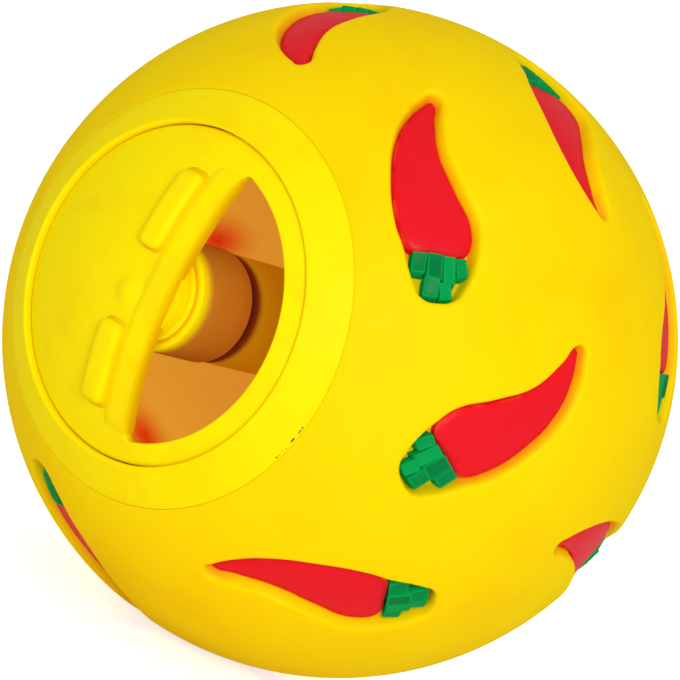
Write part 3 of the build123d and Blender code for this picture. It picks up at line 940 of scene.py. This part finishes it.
def makeShutter():
    def arc(sphere, fromRadius, toRadius):
        steps = shutter["steps"]
        radii = [fromRadius + (toRadius - fromRadius) * i / steps for i in range(steps + 1)]
        return [(radius, heightOn(sphere, radius)) for radius in radii]

    profile = arc(shutter["top"], shutter["notch"], shutter["rimOuter"])
    profile += [(shutter["rimOuter"], shutter["flangeTop"]), (shutter["flange"], shutter["flangeTop"]),
                (shutter["flange"], flangeBottom), (shutter["rimInner"], flangeBottom)]
    profile += arc(shutter["under"], shutter["rimInner"], shutter["notch"])
    bm = bmesh.new()
    spinProfile(bm, profile, shutter["around"])
    everything = bm.verts[:] + bm.edges[:] + bm.faces[:]
    bmesh.ops.bisect_plane(bm, geom=everything, plane_co=(shutter["edge"] * mm, 0, 0), plane_no=(1, 0, 0),
                           clear_outer=True)
    openEdges = [edge for edge in bm.edges if edge.is_boundary]
    bmesh.ops.triangle_fill(bm, edges=openEdges, use_beauty=True, normal=(1, 0, 0))
    bmesh.ops.recalc_face_normals(bm, faces=bm.faces)
    roundEdges(bm, shutter["round"])
    finishPiece(bm, "shutterPlate", "ball", ["shutter_plate"], plastic)


makeShutter()

# The screw and its washer keep the frame's own meshes
for name in ("pivot_screw", "screw_washer"):
    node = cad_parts[name]
    node.data.materials.clear()
    node.data.materials.append(steel)
print("pieces made")

# Floor, world, lamp and camera. The lamp stands as the photographer sees it: right, up, towards the camera
stage = {"floorSize": 12.0, "floor": "#F2F2F2", "floorLight": 0.08, "floorGlow": 0.66, "world": 0.62,
         "keyPower": 3.6, "keySize": 0.4, "keyDistance": 0.9, "keyPlace": (0.2, 0.08, 0.97)}
camera = {"azimuth": 35.26, "elevation": 7.21, "roll": 24.8, "distance": 0.534, "lens": 214.1, "sensor": 36}


def seenDirectly(tree):
    # 1 for what the camera sees, also in gloss or through glass, and 0 for light that falls on the object
    path = addNode(tree, "ShaderNodeLightPath")
    seen = path.outputs["Is Camera Ray"]
    for ray in ("Is Glossy Ray", "Is Transmission Ray"):
        either = addNode(tree, "ShaderNodeMath", {"operation": "MAXIMUM"}, {0: seen, 1: path.outputs[ray]})
        seen = either.outputs[0]
    return seen


def makeFloor():
    bm = bmesh.new()
    bmesh.ops.create_grid(bm, x_segments=1, y_segments=1, size=stage["floorSize"],
                          matrix=Matrix.Translation((0, 0, cadBox[0].z)))
    mesh = flatMesh(bm, "paperFloor")
    floor = bpy.data.objects.new("paperFloor", mesh)
    bpy.context.scene.collection.objects.link(floor)
    # Matt white paper on a light table, which the camera sees as bright as the backdrop, shadow and all
    material = bpy.data.materials.new("whitePaper")
    material.use_nodes = True
    tree = material.node_tree
    tree.nodes.clear()
    paper = addNode(tree, "ShaderNodeBsdfDiffuse", {"Color": hexColour(stage["floor"])})
    lift = addNode(tree, "ShaderNodeMapRange", {"To Min": stage["floorLight"], "To Max": stage["floorGlow"]},
                   {"Value": seenDirectly(tree)})
    glow = addNode(tree, "ShaderNodeEmission", {}, {"Strength": lift.outputs[0]})
    both = addNode(tree, "ShaderNodeAddShader", {}, {0: paper.outputs[0], 1: glow.outputs[0]})
    addNode(tree, "ShaderNodeOutputMaterial", {}, {"Surface": both.outputs[0]})
    mesh.materials.append(material)


def makeWorld():
    world = bpy.data.worlds.new("studio")
    bpy.context.scene.world = world
    world.use_nodes = True
    tree = world.node_tree
    tree.nodes.clear()
    strength = addNode(tree, "ShaderNodeMapRange", {"To Min": stage["world"], "To Max": 1.0},
                       {"Value": seenDirectly(tree)})
    light = addNode(tree, "ShaderNodeBackground", {"Color": (1, 1, 1, 1)}, {"Strength": strength.outputs[0]})
    addNode(tree, "ShaderNodeOutputWorld", {}, {"Surface": light.outputs[0]})


def makeCamera():
    azimuth, elevation, roll = (radians(camera[key]) for key in ("azimuth", "elevation", "roll"))
    back = Vector((sin(azimuth) * cos(elevation), -cos(azimuth) * cos(elevation), sin(elevation)))
    data = bpy.data.cameras.new("photoCamera")
    data.lens = camera["lens"]
    data.sensor_width = camera["sensor"]
    data.clip_start = 0.01
    made = bpy.data.objects.new("photoCamera", data)
    turned = back.to_track_quat("Z", "Y").to_matrix() @ Matrix.Rotation(roll, 3, "Z")
    made.matrix_world = Matrix.Translation(back * camera["distance"]) @ turned.to_4x4()
    bpy.context.scene.collection.objects.link(made)
    bpy.context.scene.camera = made
    return turned


def makeKeyLamp(cameraTurn):
    data = bpy.data.lights.new("keyLamp", "AREA")
    data.shape = "DISK"
    data.size = stage["keySize"]
    data.energy = stage["keyPower"]
    lamp = bpy.data.objects.new("keyLamp", data)
    direction = (cameraTurn @ Vector(stage["keyPlace"])).normalized()
    turn = direction.to_track_quat("Z", "Y").to_matrix().to_4x4()
    lamp.matrix_world = Matrix.Translation(direction * stage["keyDistance"]) @ turn
    bpy.context.scene.collection.objects.link(lamp)


makeFloor()
makeWorld()
makeKeyLamp(makeCamera())
bpy.context.scene.view_settings.view_transform = "Standard"
print("stage set")
